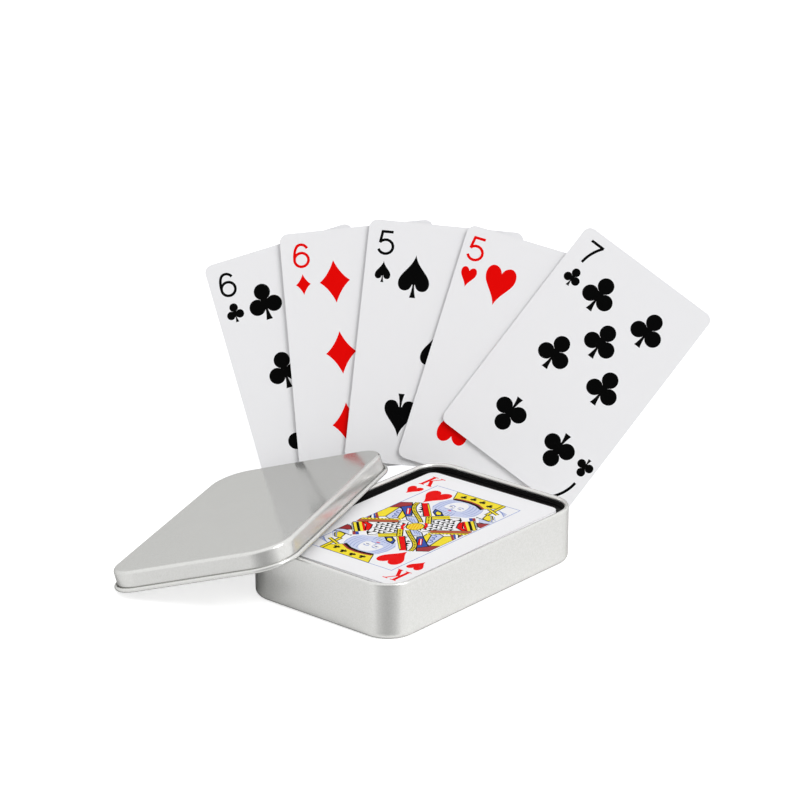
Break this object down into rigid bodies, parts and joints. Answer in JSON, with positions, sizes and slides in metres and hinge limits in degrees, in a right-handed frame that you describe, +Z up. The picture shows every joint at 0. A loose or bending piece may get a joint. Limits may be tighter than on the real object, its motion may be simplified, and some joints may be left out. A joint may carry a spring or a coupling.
{
  "type": "playing card tin",
  "caption": "Rectangular drawn tin with a loose lift-off lid leaning on it, a moulded tray holding a pack of playing cards, and drawn cards fanned out behind.",
  "frame": {"origin": "middle of the underside of the box", "axes": "+X along the box's long sides, towards the end where the cards' heads lie; +Z up, from the bottom to the open rim"},
  "size_m": [0.212, 0.1632, 0.0953],
  "materials": {
    "tinplate": "satin",
    "tray_plastic": "satin",
    "card_stock": "smooth coated"
  },
  "bodies": {
    "tin": {"tin_base": "tinplate", "card_tray": "tray_plastic"},
    "pack": {"first_joker": "card_stock", "second_joker": "card_stock", "king_of_clubs": "card_stock", "queen_of_clubs": "card_stock", "jack_of_clubs": "card_stock", "ten_of_clubs": "card_stock", "nine_of_clubs": "card_stock", "eight_of_clubs": "card_stock", "five_of_clubs": "card_stock", "four_of_clubs": "card_stock", "three_of_clubs": "card_stock", "two_of_clubs": "card_stock", "ace_of_clubs": "card_stock", "king_of_diamonds": "card_stock", "queen_of_diamonds": "card_stock", "jack_of_diamonds": "card_stock", "ten_of_diamonds": "card_stock", "nine_of_diamonds": "card_stock", "eight_of_diamonds": "card_stock", "seven_of_diamonds": "card_stock", "five_of_diamonds": "card_stock", "four_of_diamonds": "card_stock", "three_of_diamonds": "card_stock", "two_of_diamonds": "card_stock", "ace_of_diamonds": "card_stock", "king_of_spades": "card_stock", "queen_of_spades": "card_stock", "jack_of_spades": "card_stock", "ten_of_spades": "card_stock", "nine_of_spades": "card_stock", "eight_of_spades": "card_stock", "seven_of_spades": "card_stock", "six_of_spades": "card_stock", "four_of_spades": "card_stock", "three_of_spades": "card_stock", "two_of_spades": "card_stock", "ace_of_spades": "card_stock", "queen_of_hearts": "card_stock", "jack_of_hearts": "card_stock", "ten_of_hearts": "card_stock", "nine_of_hearts": "card_stock", "eight_of_hearts": "card_stock", "seven_of_hearts": "card_stock", "six_of_hearts": "card_stock", "four_of_hearts": "card_stock", "three_of_hearts": "card_stock", "two_of_hearts": "card_stock", "ace_of_hearts": "card_stock"},
    "top_card": {"king_of_hearts": "card_stock"},
    "lid": {"lid": "tinplate"},
    "seven_of_clubs": {"seven_of_clubs": "card_stock"},
    "five_of_hearts": {"five_of_hearts": "card_stock"},
    "five_of_spades": {"five_of_spades": "card_stock"},
    "six_of_diamonds": {"six_of_diamonds": "card_stock"},
    "six_of_clubs": {"six_of_clubs": "card_stock"}
  },
  "joints": [
    {"name": "deck_lift", "type": "slide", "parent": "tin", "child": "pack", "axis": [0, 0, 1], "range_m": [0, 0.04]},
    {"name": "top_card_lift", "type": "slide", "parent": "pack", "child": "top_card", "axis": [0, 0, 1], "range_m": [0, 0.03]},
    {"name": "lid_lift", "type": "slide", "parent": "top_card", "child": "lid", "axis": [0, 0, 1], "range_m": [0, 0.045]},
    {"name": "seven_of_clubs_draw", "type": "slide", "parent": "tin", "child": "seven_of_clubs", "axis": [0.6004, -0.2819, 0.7483], "range_m": [0, 0.05]},
    {"name": "five_of_hearts_draw", "type": "slide", "parent": "tin", "child": "five_of_hearts", "axis": [0.4712, 0.0094, 0.882], "range_m": [0, 0.05]},
    {"name": "five_of_spades_draw", "type": "slide", "parent": "tin", "child": "five_of_spades", "axis": [0.3599, 0.194, 0.9126], "range_m": [0, 0.05]},
    {"name": "six_of_diamonds_draw", "type": "slide", "parent": "tin", "child": "six_of_diamonds", "axis": [0.254, 0.341, 0.9051], "range_m": [0, 0.05]},
    {"name": "six_of_clubs_draw", "type": "slide", "parent": "tin", "child": "six_of_clubs", "axis": [0.1308, 0.4866, 0.8638], "range_m": [0, 0.05]}
  ]
}
